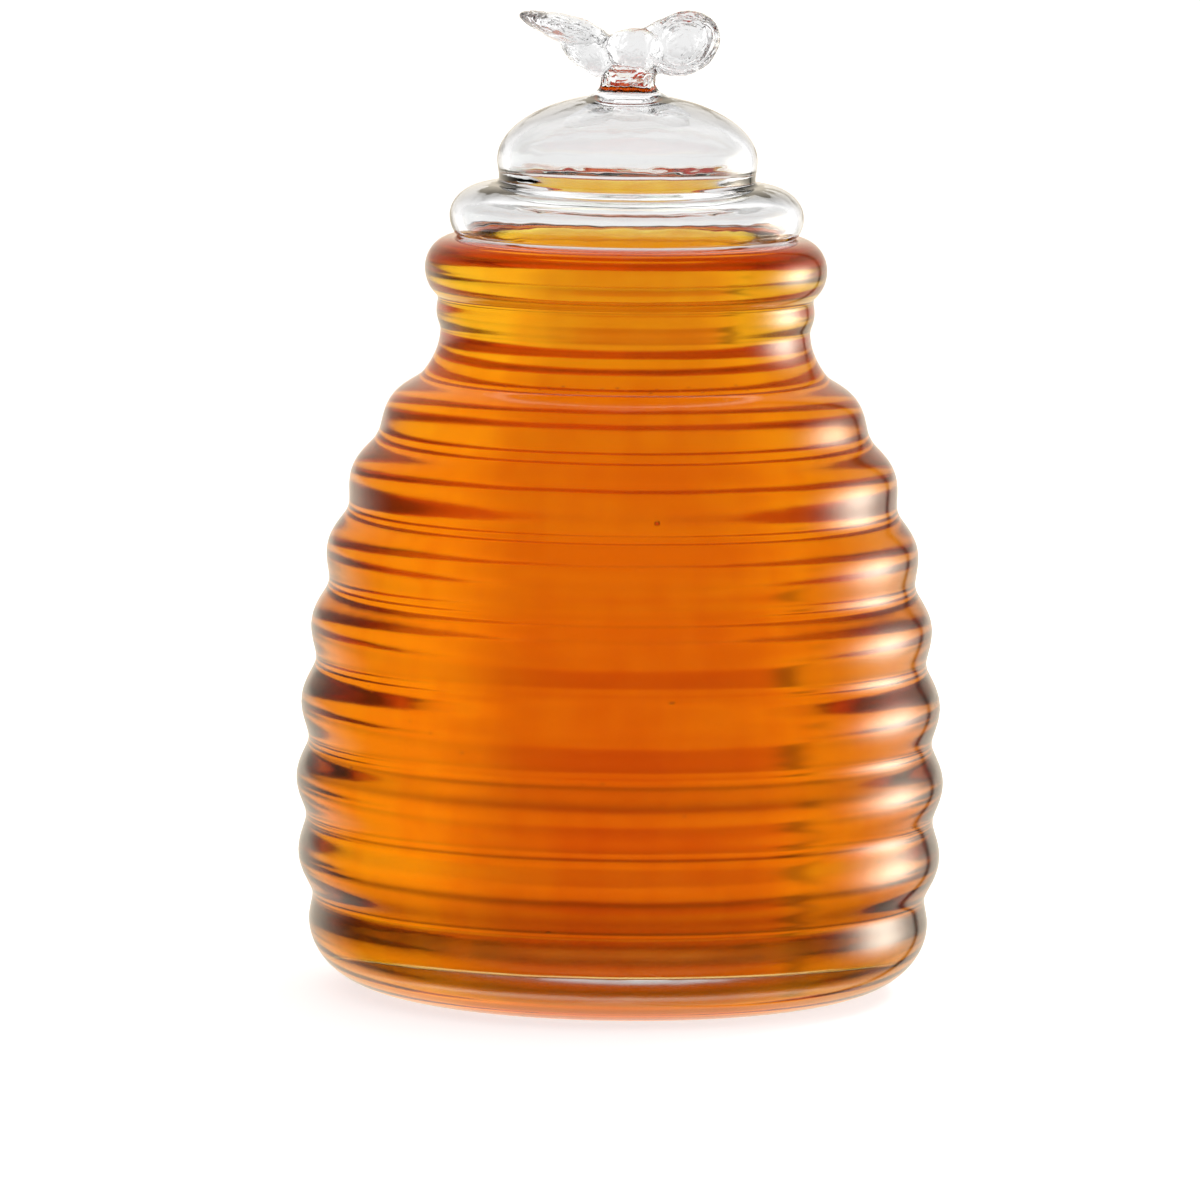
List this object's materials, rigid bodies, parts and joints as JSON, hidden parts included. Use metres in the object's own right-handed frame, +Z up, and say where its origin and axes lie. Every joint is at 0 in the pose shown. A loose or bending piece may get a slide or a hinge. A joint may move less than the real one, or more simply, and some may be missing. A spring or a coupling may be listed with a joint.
{
  "type": "glass honey pot",
  "caption": "Shut glass honey pot ribbed like a straw beehive and full of amber honey, with a two-tier blown glass lid topped by a glass bee.",
  "frame": {"origin": "centre of the foot, on the surface the pot stands on", "axes": "+Z up along the axis of the pot, -Y towards the side the picture shows, +X to that side's right"},
  "size_m": [0.0968, 0.0968, 0.1465],
  "materials": {
    "clear_glass": "clear, gloss",
    "lid_glass": "clear, gloss",
    "amber_honey": "clear amber liquid, gloss"
  },
  "bodies": {
    "root": {"jar": "clear_glass", "lid": "lid_glass", "honey": "amber_honey"}
  },
  "joints": []
}
